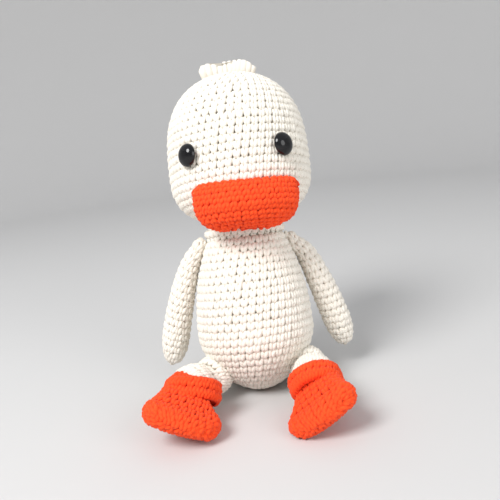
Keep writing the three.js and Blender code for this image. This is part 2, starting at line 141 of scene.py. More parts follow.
class Finish:
    """A material in the making."""

    def __init__(self, name):
        self.material = bpy.data.materials.new(name)
        self.material.use_nodes = True
        self.tree = self.material.node_tree
        self.tree.nodes.clear()

    def add(self, kind, sockets, output=0, **settings):
        return Wire(self, add_node(self.tree, kind, sockets, **settings).outputs[output])

    def attribute(self, name):
        return self.add("ShaderNodeAttribute", {}, "Fac", attribute_name=name)

    def noise(self, scale, detail):
        place = self.add("ShaderNodeTexCoord", {}, "Object")
        return self.add("ShaderNodeTexNoise", {"Vector": place, "Scale": scale, "Detail": detail})

    def bump(self, strength, millimetres, height):
        sockets = {"Strength": strength, "Distance": millimetres * MM, "Height": height}
        return self.add("ShaderNodeBump", sockets)

    def mixed(self, share, first, second):
        sockets = {0: share, 6: first, 7: second}
        return self.add("ShaderNodeMix", sockets, 2, data_type="RGBA")

    def surface(self, sockets):
        shader = self.add("ShaderNodeBsdfPrincipled", sockets)
        add_node(self.tree, "ShaderNodeOutputMaterial", {"Surface": shader})
        return self.material


# %% [markdown]
# ## Cotton yarn
# The yarn is spun from several plies that wind round each other. Seen close, that gives slanted
# grooves along each strand. The strand's own UV map, round it and along it, draws them: the ply number
# goes up as one walks round the strand and as one walks along it. Shade is painted into the yarn's
# colour: painted shade in the grooves and where it dips behind its neighbours. Each stitch differs a
# touch in tone.

# %% Yarn finishes
# The second colour of each yarn is the dark end of its painted shade and of its own uneven tone.
CREAM = (0.885, 0.845, 0.765, 1.0)
CREAM_PAINTED_SHADE_AND_TONE = (0.56, 0.49, 0.40, 1.0)
ORANGE = (0.96, 0.088, 0.016, 1.0)
ORANGE_PAINTED_SHADE_AND_TONE = (0.62, 0.022, 0.005, 1.0)
PLIES = 4
TWIST_LENGTH = 3.6         # millimetres of strand for one ply to go once round
FIBRE_GRAIN, WEAR_GRAIN, FELT_GRAIN = 2600.0, 45.0, 900.0      # how many to a metre


def yarn(name, colour, shade):
    finish = Finish(name)
    uv = finish.add("ShaderNodeUVMap", {}, uv_map="UVMap")
    around, along = (finish.add("ShaderNodeSeparateXYZ", {"Vector": uv}, axis) for axis in range(2))
    ply = (around * PLIES + along * (PLIES / TWIST_LENGTH)) * math.pi
    crown = ply.sine().size()
    tone, deep = finish.attribute("tone"), finish.attribute("deep")
    fibres, worn = finish.noise(FIBRE_GRAIN, 3.0), finish.noise(WEAR_GRAIN, 2.0)
    groove = (1.0 - crown) ** 3.0
    # Painted shade: deep darkens where the yarn dips behind its neighbours, groove in the ply grooves.
    # tone and worn vary the yarn's own colour.
    dark = (deep * 0.6 + groove * 0.14 + tone * 0.10 + worn * 0.12 - 0.08).held()
    return finish.surface({
        "Base Color": finish.mixed(dark, colour, shade),
        "Roughness": 0.72 + fibres * 0.2,
        "Normal": finish.bump(0.45, 0.25, crown * 0.7 + fibres * 0.5),
        "Sheen Weight": 0.06,
        "Sheen Roughness": 0.5,
        "Specular IOR Level": 0.2,
    })


cream_yarn = yarn("cream_yarn", CREAM, CREAM_PAINTED_SHADE_AND_TONE)
orange_yarn = yarn("orange_yarn", ORANGE, ORANGE_PAINTED_SHADE_AND_TONE)

# %% [markdown]
# ## What shows through the holes
# Behind the stitches lies the cover's inner face, pressed against the stuffing. Little light reaches
# it, so it gets painted shade: the yarn's colour, much darker, with a felted grain.

# %% Inner finishes
def inner(name, colour, shade):
    finish = Finish(name)
    felt = finish.noise(FELT_GRAIN, 4.0)
    return finish.surface({
        "Base Color": finish.mixed(felt, colour, shade),
        "Roughness": 0.85 + felt * 0.1,
        "Normal": finish.bump(0.5, 0.3, felt),
        "Specular IOR Level": 0.05,
    })


# Painted shade: each is its yarn's colour made much darker, for the hollows behind the stitches.
cream_painted_shade_lining = inner("cream_painted_shade_lining", (0.46, 0.41, 0.34, 1.0), (0.34, 0.29, 0.23, 1.0))
orange_painted_shade_lining = inner("orange_painted_shade_lining", (0.78, 0.042, 0.008, 1.0), (0.60, 0.028, 0.006, 1.0))

# %% [markdown]
# ## Eyes and washers
# A safety eye is moulded plastic, polished until it mirrors the room. It still has the faint waviness
# and the hair scratches of a thing that is handled. The washer behind it is milky plastic.

# %% Plastic finishes
def plastic(name, colour, roughness, grain, wave):
    finish = Finish(name)
    fine = finish.noise(grain, 3.0)
    worn = tuple(0.8 * c for c in colour[:3]) + (1.0,)
    return finish.surface({
        "Base Color": finish.mixed(fine * 0.3, colour, worn),
        "Roughness": roughness + fine * 0.06,
        "Normal": finish.bump(0.04, 0.1, finish.noise(wave, 2.0)),
        "Specular IOR Level": 0.32,
        "Coat Weight": 0.12,
        "Coat Roughness": 0.03,
    })


eye_gloss = plastic("eye_gloss", (0.006, 0.006, 0.007, 1.0), 0.06, 900.0, 160.0)
washer_plastic = plastic("washer_plastic", (0.66, 0.67, 0.68, 1.0), 0.4, 700.0, 300.0)

# %% [markdown]
# ## Shapes made of rings
# Each form below is a row of rings, lines of points that go once round it. A few small functions lay
# the rings, join them to a mesh and measure along them.

# %% Shared by every shape
QUARTER = math.pi / 2


def round_angles(count, start=0.0):
    return np.arange(count) / count * 2 * math.pi + start


def unit(vectors):
    """The same directions, each of length 1."""
    return vectors / np.linalg.norm(vectors, axis=1)[:, None]


def square_to(out, vectors):
    """The same directions, each made square to another one and of length 1."""
    return unit(vectors - out * (vectors * out).sum(axis=1)[:, None])


def rings_round(profile, angles, shift=(0, 0, 0)):
    """Rings round the Z axis, one for each height and radius of a profile."""
    rings = [np.stack([r * np.cos(angles), r * np.sin(angles), 0 * angles + z], axis=1)
             for z, r in profile]
    return np.array(rings) + shift


def rings_along(path, radii, sides, hint=None):
    """Rings round a path. Each starts on the hint's side, or else on the side of the last one."""
    path = np.array(path, float)
    steps = unit(np.gradient(path, axis=0))
    side = np.cross(steps[0], (0.0, 0.0, 1.0))
    if np.linalg.norm(side) < 0.1:
        side = np.cross(steps[0], (1.0, 0.0, 0.0))
    angles, rings = round_angles(sides), []
    across, over = np.cos(angles)[:, None], np.sin(angles)[:, None]
    for place, step, radius in zip(path, steps, radii):
        side = side if hint is None else np.array(hint, float)
        side = side - step * (side @ step)
        side /= np.linalg.norm(side)
        rings.append(place + radius * (across * side + over * np.cross(step, side)))
    return np.array(rings)


def band_faces(lines, count):
    """The four-sided faces between closed rings of points, one ring after the other."""
    faces = []
    for line in range(lines - 1):
        for i in range(count):
            a, b = line * count + i, line * count + (i + 1) % count
            faces.append((a, b, b + count, a + count))
    return faces


def smooth_mesh(name, points, faces, finish=None):
    mesh = bpy.data.meshes.new(name)
    mesh.from_pydata([tuple(p) for p in points], [], faces)
    if finish:
        mesh.materials.append(finish)
    mesh.shade_smooth()
    return mesh


def way_along(points):
    """How far each point of a line lies along it."""
    return np.concatenate([[0.0], np.cumsum(np.linalg.norm(np.diff(points, axis=0), axis=1))])


def read_at(spots, way, values):
    """The values of a line at places that lie at given distances along it."""
    return np.stack([np.interp(spots, way, values[:, axis]) for axis in range(3)], axis=1)


def mark(mesh, key, values):
    """Stores a number for each point, for the materials to read."""
    layer = mesh.attributes.new(key, "FLOAT", "POINT")
    layer.data.foreach_set("value", values.astype(np.float32))


# %% [markdown]
# ## One stitch
# A single crochet stitch seen from outside is a V: the yarn comes from behind, runs down to the hole
# it was worked through, and goes back up. One bent tube of yarn makes it. The tube's ends lie behind
# the stitches above, so they never show, and it is a few dozen faces, because there are thousands of
# them. Worked right-handed, each V leans a little.

# %% A tube of yarn
STITCH_WIDTH = 4.15
ROW_HEIGHT = 4.1


def tube_mesh(name, path, radii, sides):
    """A mesh round a path, with the UV map that the yarn's plies follow, in the path's units."""
    rings = rings_along(path, radii, sides)
    count = len(rings)
    lengths = way_along(path)
    faces, maps = band_faces(count, sides), []
    for row in range(count - 1):
        near, far = lengths[row], lengths[row + 1]
        for i in range(sides):
            left, right = i / sides, (i + 1) / sides
            maps += [(left, near), (right, near), (right, far), (left, far)]
    last = (count - 1) * sides
    faces += [tuple(range(sides))[::-1], tuple(range(last, last + sides))]
    maps += [(0.5, 0.0)] * sides + [(0.5, lengths[-1])] * sides
    mesh = smooth_mesh(name, rings.reshape(-1, 3), faces)
    layer = mesh.uv_layers.new(name="UVMap")
    layer.data.foreach_set("uv", np.array(maps, np.float32).ravel())
    return mesh


# %% The V of a single crochet stitch
def curve_through(points, count):
    """A smooth line through a few points, at evenly spaced shares of the way."""
    points = np.array(points, float)
    ends = np.vstack([2 * points[0] - points[1], points, 2 * points[-1] - points[-2]])
    place = np.clip(np.linspace(0, 1, count) * (len(points) - 1), 0, len(points) - 1 - 1e-9)
    first = place.astype(int)
    t = (place - first)[:, None]
    p0, p1, p2, p3 = (ends[first + i] for i in range(4))
    return 0.5 * (2 * p1 + (p2 - p0) * t + (2 * p0 - 5 * p1 + 4 * p2 - p3) * t ** 2
                  + (3 * p1 - p0 - 3 * p2 + p3) * t ** 3)


STITCH_LEAN = 0.18
LEG_POINTS = [(-0.32, 0.65, -1.35), (-0.285, 0.42, -0.34), (-0.215, 0.08, 0.0), (-0.13, -0.26, -0.08),
              (-0.03, -0.53, -1.1)]
LEG_RADII = [0.85, 1.14, 1.27, 1.17, 0.80]
LOW_LEG = 0.10             # how much lower the left leg lies than the right one
STITCH_SIDES, STITCH_RINGS = 7, 9
STITCH_LOWEST, STITCH_HIGHEST = -1.7, 1.1
TIGHT_SPREAD, TIGHT_DROP = 1.05, 1.6


def stitch_mesh(name, spread=1.0, drop=1.0):
    """A stitch, with how deep each of its points lies, from 0 on top to 1."""
    leg = [((x * spread + STITCH_LEAN * y) * STITCH_WIDTH, y * ROW_HEIGHT, z * drop - LOW_LEG)
           for x, y, z in LEG_POINTS]
    back = [((-x * spread + STITCH_LEAN * y) * STITCH_WIDTH, y * ROW_HEIGHT, z * drop)
            for x, y, z in LEG_POINTS[::-1]]
    path = curve_through(leg + back, STITCH_RINGS)
    radii = curve_through([[r] for r in LEG_RADII + LEG_RADII[::-1]], STITCH_RINGS)[:, 0]
    mesh = tube_mesh(name, path, radii, STITCH_SIDES)
    height = np.array([v.co.z for v in mesh.vertices])
    # The yarn paints shade from this depth: the deeper a point lies, the darker it is drawn.
    deep = (STITCH_HIGHEST - height) / (STITCH_HIGHEST - STITCH_LOWEST)
    mark(mesh, "deep", np.clip(deep, 0, 1))
    print(name, "faces", len(mesh.polygons))
    return mesh


single_crochet = bpy.data.objects.new("single_crochet", stitch_mesh("single_crochet"))
tight_crochet = bpy.data.objects.new("tight_crochet",
                                     stitch_mesh("tight_crochet", TIGHT_SPREAD, TIGHT_DROP))

# %% [markdown]
# ## Stitches in rounds
# The toy is worked in a spiral. Each turn holds as many stitches as fit its girth, and they grow and
# shrink by a few at a time, as a maker increases and decreases. A form is given as a grid of
# points: one line of the grid goes round it, and the lines follow each other from its start to its
# end. The maker's count then gives each stitch a place, an outward direction and a direction along the
# round.

# %% Rounds over a form
def by_length(grid):
    """The same rings, each with its points spaced evenly along it, and every ring's length."""
    even, girth = [], []
    for ring in grid:
        closed = np.concatenate([ring, ring[:1]])
        way = way_along(closed)
        even.append(read_at(np.arange(len(ring)) / len(ring) * way[-1], way, closed))
        girth.append(way[-1])
    return np.array(even), np.array(girth)


def outward_of(grid):
    """The outward direction at each point of a grid, and the direction from line to line."""
    round_step = np.roll(grid, -1, axis=1) - np.roll(grid, 1, axis=1)
    line_step = np.gradient(grid, axis=0)
    outward = np.cross(round_step, line_step)
    outward /= np.maximum(np.linalg.norm(outward, axis=2), 1e-12)[:, :, None]
    middle = grid.mean(axis=1, keepdims=True)
    if ((grid - middle) * outward).sum() < 0:
        outward = -outward
    return outward, line_step


def together(*rounds):
    return {key: np.concatenate([one[key] for one in rounds]) for key in rounds[0]}


UNEVEN = 0.06              # a hand's small errors, as a share of a stitch
FEWEST_STITCHES = 5
SEED_STEPS, SEEDS = 1e6, 9973     # a form's length in thousandths of a millimetre gives its seed


def rounds_over(grid, sink, step=6, width=STITCH_WIDTH, height=ROW_HEIGHT):
    """Places of the stitches over a form in metres. The yarn lies sink millimetres inside it."""
    even, girth = by_length(grid)
    outward, line_step = outward_of(even)
    lengths = np.linalg.norm(np.diff(even, axis=0), axis=2).mean(axis=1)
    way = np.concatenate([[0.0], np.cumsum(lengths)])
    line_rate = 1 / np.gradient(way)
    rows = max(1, round(way[-1] / (height * MM)))
    row_height = way[-1] / rows
    found, start, hand = [], 0.0, np.random.default_rng(round(SEED_STEPS * way[-1]) % SEEDS)
    lines, count = even.shape[:2]
    for row in range(rows):
        middle = (row + 0.5) * row_height
        size = np.interp(middle, way, girth)
        stitches = max(FEWEST_STITCHES, step * round(size / (width * MM) / step))
        part = (np.arange(stitches) + 0.5) / stitches
        turn = 1 + STITCH_LEAN / stitches
        share = start + part * turn + hand.uniform(-UNEVEN, UNEVEN, stitches) / stitches
        start += turn
        uneven = hand.uniform(-UNEVEN, UNEVEN, stitches)
        climb = (part - 0.5) * (rows > 1) + uneven
        down = np.clip(middle + climb * row_height, 0, way[-1])
        line = np.clip(np.interp(down, way, np.arange(lines)), 0, lines - 1.001)
        spot = (share % 1.0) * count
        first, left = line.astype(int), spot.astype(int) % count
        low, aside = (line - first)[:, None], (spot - spot.astype(int))[:, None]
        right = (left + 1) % count

        def read(values):
            above = values[first, left] * (1 - aside) + values[first, right] * aside
            below = values[first + 1, left] * (1 - aside) + values[first + 1, right] * aside
            return above * (1 - low) + below * low

        out = unit(read(outward))
        up = square_to(out, read(line_step))
        across = np.full(stitches, size / stitches / (STITCH_WIDTH * MM))
        steps_per_row = np.interp(down, way, line_rate) * row_height
        tall = np.linalg.norm(read(line_step), axis=1) * steps_per_row / (ROW_HEIGHT * MM)
        thick = np.minimum(1.0, 0.5 * (across + tall))
        found.append({"place": read(even) - out * sink * MM, "outward": out,
                      "along": np.cross(up, out), "size": np.stack([across, tall, thick], axis=1)})
    return together(*found)


def chain_on(line, outward, place, width, tall):
    """Stitches along a line in millimetres in a frame, as a maker starts or edges a piece."""
    way = way_along(line)
    count = max(2, round(way[-1] / width))
    spots = (np.arange(count) + 0.5) / count * way[-1]
    out = np.tile(np.array(outward, float), (count, 1))
    ahead = square_to(out, read_at(spots, way, np.gradient(line, axis=0)))
    turn = np.array(place.to_3x3())
    sizes = np.tile([way[-1] / count / STITCH_WIDTH, tall, 1.0], (count, 1))
    return {"place": placed(read_at(spots, way, line), place), "outward": out @ turn.T,
            "along": ahead @ turn.T, "size": sizes}


def thinned(rounds, keep):
    """Only the stitches that keep, a function of their places, says yes to."""
    chosen = keep(rounds["place"])
    return {key: value[chosen] for key, value in rounds.items()}


# %% [markdown]
# ## A Geometry Nodes tree that works the stitches
# The tree puts one stitch on each place, turned so that it lies in the fabric, with a small random turn
# and size from a fixed seed, as hands give. It stores a random tone for each stitch, makes the copies
# real and gives them their yarn.

# %% The tree
def crochet_tree():
    tree = bpy.data.node_groups.new("crochet_rounds", "GeometryNodeTree")
    for name, kind in (("Geometry", "Geometry"), ("Stitch", "Object"), ("Yarn", "Material"),
                       ("Turn", "Float"), ("Spread", "Float"), ("Seed", "Int")):
        tree.interface.new_socket(name, in_out="INPUT", socket_type=f"NodeSocket{kind}")
    tree.interface.new_socket("Geometry", in_out="OUTPUT", socket_type="NodeSocketGeometry")

    def node(kind, sockets, **settings):
        return add_node(tree, kind, sockets, **settings)

    given = node("NodeGroupInput", {}).outputs

    def named(name):
        read = node("GeometryNodeInputNamedAttribute", {"Name": name}, data_type="FLOAT_VECTOR")
        return read.outputs["Attribute"]

    def random(low, high, seed_shift):
        seed = node("ShaderNodeMath", {0: given["Seed"], 1: seed_shift})
        value = node("FunctionNodeRandomValue", {"Seed": seed}, data_type="FLOAT")
        numbers = [s for s in value.inputs if s.type == "VALUE" and s.enabled]
        for target, source in zip(numbers, (low, high)):
            if isinstance(source, float):
                target.default_value = source
            else:
                tree.links.new(source, target)
        return next(s for s in value.outputs if s.type == "VALUE" and s.enabled)

    def either_way(name, seed_shift):
        """A random number between minus and plus one that is given."""
        least = node("ShaderNodeMath", {0: given[name], 1: -1.0}, operation="MULTIPLY")
        return random(least.outputs[0], given[name], seed_shift)

    facing = node("FunctionNodeAxesToRotation", {0: named("outward"), 1: named("along")},
                  primary_axis="Z", secondary_axis="X")
    turns = {axis: either_way("Turn", axis + 1.0) for axis in range(3)}
    wobble = node("ShaderNodeCombineXYZ", turns)
    turned = node("FunctionNodeRotateRotation", {0: facing, 1: wobble}, rotation_space="LOCAL")
    spread = node("ShaderNodeMath", {0: either_way("Spread", 7.0), 1: 1.0})
    sized = node("ShaderNodeVectorMath", {0: named("size"), "Scale": spread}, operation="SCALE")
    stitch = node("GeometryNodeObjectInfo", {"Object": given["Stitch"]})
    copies = node("GeometryNodeInstanceOnPoints", {
        "Points": given["Geometry"], "Instance": stitch.outputs["Geometry"], "Rotation": turned,
        "Scale": sized})
    tone = node("GeometryNodeStoreNamedAttribute", {
        "Name": "tone", "Geometry": copies, "Value": random(0.0, 1.0, 11.0)},
                data_type="FLOAT", domain="INSTANCE")
    real = node("GeometryNodeRealizeInstances", {0: tone})
    yarned = node("GeometryNodeSetMaterial", {"Geometry": real, "Material": given["Yarn"]})
    node("NodeGroupOutput", {0: yarned})
    return tree


rounds_tree = crochet_tree()

# %% Working a piece
TURN, SPREAD = math.radians(4.0), 0.045        # how far a stitch turns and how much its size differs
LAID = {"outward": 1.0, "along": 1.0, "size": MM}    # what the tree reads at each place, and its scale


def add_object(name, mesh):
    piece = bpy.data.objects.new(name, mesh)
    bpy.context.scene.collection.objects.link(piece)
    return piece


def crocheted(name, rounds, stitch, finish, seed):
    """One plain mesh of stitches at the places of the rounds."""
    places = bpy.data.meshes.new(name + "_places")
    places.from_pydata([tuple(p) for p in rounds["place"]], [], [])
    for key, scale in LAID.items():
        layer = places.attributes.new(key, "FLOAT_VECTOR", "POINT")
        layer.data.foreach_set("vector", (rounds[key] * scale).astype(np.float32).ravel())
    piece = add_object(name, places)
    modifier = piece.modifiers.new("rounds", "NODES")
    modifier.node_group = rounds_tree
    values = {"Stitch": stitch, "Yarn": finish, "Turn": TURN, "Spread": SPREAD, "Seed": seed}
    for item in rounds_tree.interface.items_tree:
        if item.in_out == "INPUT" and item.name in values:
            modifier[item.identifier] = values[item.name]
    graph = bpy.context.evaluated_depsgraph_get()
    mesh = bpy.data.meshes.new_from_object(
        piece.evaluated_get(graph), preserve_all_data_layers=True, depsgraph=graph)
    piece.modifiers.clear()
    piece.data = mesh
    bpy.data.meshes.remove(places)
    for key in LAID:
        if key in mesh.attributes:
            mesh.attributes.remove(mesh.attributes[key])
    print(name, "stitches", len(rounds["place"]), "faces", len(mesh.polygons))
    return piece


# %% The form behind the stitches
def lining_mesh(name, grid, inset, finish, every=3):
    """A closed skin, inset millimetres inside a form, that shows through the holes."""
    even, _ = by_length(grid)
    outward, _ = outward_of(even)
    rings = (even - outward * inset * MM)[::every, ::every]
    lines, count = rings.shape[:2]
    points = [*rings.reshape(-1, 3), rings[0].mean(axis=0), rings[-1].mean(axis=0)]
    faces = band_faces(lines, count)
    for middle, start in ((lines * count, 0), (lines * count + 1, (lines - 1) * count)):
        faces += [(start + i, start + (i + 1) % count, middle) for i in range(count)]
    mesh = smooth_mesh(name, points, faces, finish)
    shell = bmesh.new()
    shell.from_mesh(mesh)
    bmesh.ops.remove_doubles(shell, verts=shell.verts, dist=1e-6)
    bmesh.ops.recalc_face_normals(shell, faces=shell.faces)
    shell.to_mesh(mesh)
    shell.free()
    return add_object(name, mesh)


COVER_SINK = 1.6           # how far the middle of the yarn lies inside the cover's outside
THICK_INSET, THIN_INSET = 2.6, 2.4     # how deep the skin lies on large and on small pieces
CREAM_WORK = (single_crochet, cream_yarn, cream_painted_shade_lining)
ORANGE_WORK = (tight_crochet, orange_yarn, orange_painted_shade_lining)


def worked(name, form, rounds, work, seed, inset=THIN_INSET, every=3):
    """A piece's stitches, and the skin behind them."""
    stitch, finish, inside = work
    return (crocheted(f"{name}_crochet", rounds, stitch, finish, seed),
            lining_mesh(f"{name}_inside", form, inset, inside, every))


# %% [markdown]
# ## Places of the pieces
# Every piece is shaped in the frame of the part that carries it, as on the solids: the torso leans
# back, the head leans a little more, and each boot lies on its own turned foot. These are the same
# driving sizes as the solids have, in millimetres.

# %% Frames
DUCK = Matrix.Identity(4)


def turned_frame(parent, place=(0, 0, 0), x=0.0, y=0.0, z=0.0):
    """A frame in its parent's, turned by degrees about Y, then X, then Z."""
    turn = (Matrix.Rotation(math.radians(z), 4, "Z") @ Matrix.Rotation(math.radians(x), 4, "X")
            @ Matrix.Rotation(math.radians(y), 4, "Y"))
    return parent @ Matrix.Translation(Vector(place)) @ turn


LEAN, HEAD_LEAN = 12.0, 2.4
BODY_FORWARD, BODY_SINK, NECK_HEIGHT, NECK_RADIUS = 8.0, 3.2, 88.0, 20.8
SHOULDER_REACH, SHOULDER_FORWARD, SHOULDER_DROP = 6.8, 0.6, 4.4
HIP_SIDE, HIP_FORWARD, HIP_HEIGHT = 25.0, 16.5, 14.0
LEG_RISE, CUFF_DISTANCE = 6.5, 23.5
LIMBS = {
    "left": {"sign": 1, "splay": 7.0, "yaw": -13.0, "pitch": 0.0, "roll": 38.0, "cuff_tilt": 30.0,
             "cuff_place": (26.6, -43.6, 16.2), "cuff_turn": 7.8, "cuff_lean": 31.0,
             "cuff_size": (14.3, 11.4), "wing_sewn": (2.6, -2.4), "wing_reach": 23.4,
             "wing_drop": 67.6},
    "right": {"sign": -1, "splay": 37.0, "yaw": -8.0, "pitch": 5.0, "roll": 26.0, "cuff_tilt": 42.0,
              "cuff_place": (-34.6, -37.2, 15.9), "cuff_turn": -14.0, "cuff_lean": 53.0,
              "cuff_size": (15.2, 12.2), "wing_sewn": (2.2, -0.6), "wing_reach": 22.0,
              "wing_drop": 68.2},
}

torso = turned_frame(DUCK, x=-LEAN)
neck = turned_frame(torso, (0, -BODY_FORWARD, NECK_HEIGHT - BODY_SINK))
head = turned_frame(neck, x=-HEAD_LEAN)
collar = neck.translation
for limb in LIMBS.values():
    sign = limb["sign"]
    limb["shoulder"] = Vector((sign * (NECK_RADIUS + SHOULDER_REACH), collar.y - SHOULDER_FORWARD,
                               collar.z - SHOULDER_DROP))
    limb["hip"] = Vector((sign * HIP_SIDE, -HIP_FORWARD, HIP_HEIGHT))
    limb["leg_frame"] = turned_frame(DUCK, limb["hip"], x=-LEG_RISE, z=sign * limb["splay"])
    limb["cuff_frame"] = turned_frame(limb["leg_frame"], (0, -CUFF_DISTANCE, 0),
                                       x=LEG_RISE + limb["cuff_tilt"])
    limb["loose_cuff"] = turned_frame(DUCK, limb["cuff_place"], x=limb["cuff_lean"],
                                      z=limb["cuff_turn"])
    limb["boot_frame"] = turned_frame(DUCK, limb["cuff_frame"].translation, x=-limb["pitch"],
                                      y=-sign * limb["roll"], z=sign * limb["yaw"])


def placed(grid, place):
    """A grid in millimetres in a frame, as metres in the duck's own."""
    turn = np.array(place.to_3x3())
    return (grid @ turn.T + np.array(place.translation)) * MM


# %% [markdown]
# ## The body
# A stuffed crochet body is a form of revolution with a heavy bottom: it swells to its widest low
# down, draws in towards the neck and is pressed flat by its own weight where it sits. In front its
# lower half runs to a point and behind it is sat out flat.

# %% The body's form
BODY_RADIUS, BODY_WIDEST = 32.5, 34.0
BODY_FRONT_POWER, BODY_BACK_POWER, BODY_TAPER_POWER = 1.7, 3.0, 2.2
GRID_LINES, GRID_SPOTS = 120, 180
SEAT_EASE, LEG_OPENING, DOME_TOP = 1.2, 9.0, 40.0
BODY_START, BODY_SPACING = 0.02, 1.7
BODY_BEHIND = (-0.1, 0.9)  # the sines between which the front's power turns into the back's


def body_grid():
    angles = round_angles(GRID_SPOTS, QUARTER)
    low, high = BODY_BEHIND
    t = np.clip((np.sin(angles) - low) / (high - low), 0, 1)
    power = BODY_FRONT_POWER + (BODY_BACK_POWER - BODY_FRONT_POWER) * (t * t * (3 - 2 * t))
    lines = []
    for share in np.linspace(BODY_START, 1, GRID_LINES // 2) ** BODY_SPACING:
        radius = BODY_RADIUS * (1 - (1 - share) ** power) ** (1 / power)
        lines.append((share * BODY_WIDEST, radius))
    for share in np.linspace(0, 1, GRID_LINES // 3)[1:]:
        radius = BODY_RADIUS + (NECK_RADIUS - BODY_RADIUS) * share ** BODY_TAPER_POWER
        lines.append((BODY_WIDEST + (NECK_HEIGHT - BODY_WIDEST) * share, radius + 0 * angles))
    for rise in np.radians(np.linspace(0, DOME_TOP, GRID_LINES // 6)[1:]):
        radius = NECK_RADIUS * math.cos(rise) + 0 * angles
        lines.append((NECK_HEIGHT + NECK_RADIUS * math.sin(rise), radius))
    return placed(rings_round(lines, angles, (0, -BODY_FORWARD, -BODY_SINK)), torso)


def sat_flat(grid):
    """Presses a form flat on what it sits on, with a soft edge."""
    ease = SEAT_EASE * MM
    level = grid[:, :, 2]
    pressed = grid.copy()
    pressed[:, :, 2] = 0.5 * (level + np.sqrt(level ** 2 + ease ** 2))
    return pressed


def away_from(centre, reach):
    """A test for places that lie further than a reach, in millimetres, from a point."""
    middle = np.array(centre) * MM
    return lambda places: np.linalg.norm(places - middle, axis=1) > reach * MM


body_form = sat_flat(body_grid())
body_rounds = rounds_over(body_form, COVER_SINK)
for limb in LIMBS.values():
    body_rounds = thinned(body_rounds, away_from(limb["hip"], LEG_OPENING))
body_work = worked("body", body_form, body_rounds, CREAM_WORK, seed=3, inset=THICK_INSET)

# %% [markdown]
# ## The head
# The head is another form of revolution, like an egg that stands on its blunt end. Its rounds begin at
# the neck.

# %% The head's form
HEAD_RADIUS, HEAD_WIDEST, HEAD_POLE, HEAD_LOWER_POWER = 39.6, 33.5, 4.6, 2.64
HEAD_UPPER, HEAD_UPPER_POWER, HEAD_UPPER_ROOT = 54.6, 3.1, 2.05
HEAD_RIM, HEAD_SHIFT, LEAST_RADIUS = 7.0, 1.2, 0.01
HEAD_FOOT = ((4.4, 0.8), (2.0, 0.2))   # below the rim, and outside the neck's radius


def head_radius(height):
    if height < HEAD_WIDEST:
        drop = (HEAD_WIDEST - height) / (HEAD_WIDEST - HEAD_POLE)
        return HEAD_RADIUS * (1 - drop ** HEAD_LOWER_POWER) ** (1 / HEAD_LOWER_POWER)
    rise = min((height - HEAD_WIDEST) / HEAD_UPPER, 1.0)
    return HEAD_RADIUS * (1 - rise ** HEAD_UPPER_POWER) ** (1 / HEAD_UPPER_ROOT)


def head_grid():
    angles, turns = round_angles(GRID_SPOTS, QUARTER), np.linspace(0.0, QUARTER, GRID_LINES // 2)
    lower = HEAD_WIDEST - (HEAD_WIDEST - HEAD_RIM) * np.cos(turns)
    upper = HEAD_WIDEST + HEAD_UPPER * np.sin(turns[1:])
    lines = [(HEAD_RIM - drop, NECK_RADIUS + out) for drop, out in HEAD_FOOT]
    lines += [(z, head_radius(z)) for z in (*lower, *upper)]
    lines = [(z, max(radius, LEAST_RADIUS)) for z, radius in lines]
    return placed(rings_round(lines, angles, (HEAD_SHIFT, 0, 0)), head)


head_form = head_grid()
head_rounds = rounds_over(head_form, COVER_SINK)
head_work = worked("head", head_form, head_rounds, CREAM_WORK, seed=5, inset=THICK_INSET)

# %% [markdown]
# ## Wings
# Each wing is a long drop that hangs from the shoulder with a slight outward bow. Its rounds start at
# the tip.

# %% The wings' form
WING_ROOT, WING_RADIUS, WING_FORWARD = 4.9, 8.5, 0.8
WING_BOW_REACH, WING_BOW_DROP = 13.4, 27.6
WING_LINES, WING_SPACING, SEWN_SHARE, ROOT_RISES = 90, 0.9, 0.12, (80, 60, 40, 20)
WING_SHARES = [(0, 0.58), (0.12, 0.68), (0.28, 0.80), (0.46, 0.91), (0.64, 0.98), (0.78, 1.0),
               (0.88, 0.90), (0.94, 0.72), (0.98, 0.46), (1.0, 0.05)]
LIMB_SPOTS = 72


def wing_grid(limb):
    sign = limb["sign"]
    bow = np.array((sign * WING_BOW_REACH, -WING_FORWARD / 2, -WING_BOW_DROP))
    tip = np.array((sign * limb["wing_reach"], -WING_FORWARD, -limb["wing_drop"]))
    shares = np.linspace(0, 1, WING_LINES) ** WING_SPACING
    sewn = np.array((-sign * limb["wing_sewn"][0], 0.0, limb["wing_sewn"][1]))
    line = [2 * t * (1 - t) * bow + t * t * tip + sewn * math.exp(-((t / SEWN_SHARE) ** 2))
            for t in shares]
    radii = WING_RADIUS * np.interp(shares, *zip(*WING_SHARES))
    start = (line[1] - line[0]) / np.linalg.norm(line[1] - line[0])
    rises = np.radians(ROOT_RISES)
    root = [line[0] - start * WING_ROOT * math.sin(rise) for rise in rises]
    root_radii = [WING_ROOT * math.cos(rise) for rise in rises]
    grid = rings_along(root + line, [*root_radii, *radii], LIMB_SPOTS, (0, 1, 0))
    return placed(grid, Matrix.Translation(limb["shoulder"]))[::-1]


for name, limb in LIMBS.items():
    form = wing_grid(limb)
    rounds = rounds_over(form, COVER_SINK, step=1)
    limb["wing"] = worked(f"wing_{name}", form, rounds, CREAM_WORK, seed=11, every=2)

# %% [markdown]
# ## Legs
# A short stuffed tube comes out of the body on each side. Its root is round, so that it can turn in
# the dimple that holds it.

# %% The legs' form
LEG_RADIUS = 11.2
LEG_WAIST, LEG_WAIST_AT, LEG_WAIST_LENGTH = 9.4, 8.2, 3.4
LEG_ROOT_START, LEG_ROOT_END, LEG_TUBE = -80, 40, 12.8
LEG_TUCK, LEG_TUCK_TAPER = 4.5, 5.2    # how far the leg runs on, narrowing, inside the boot


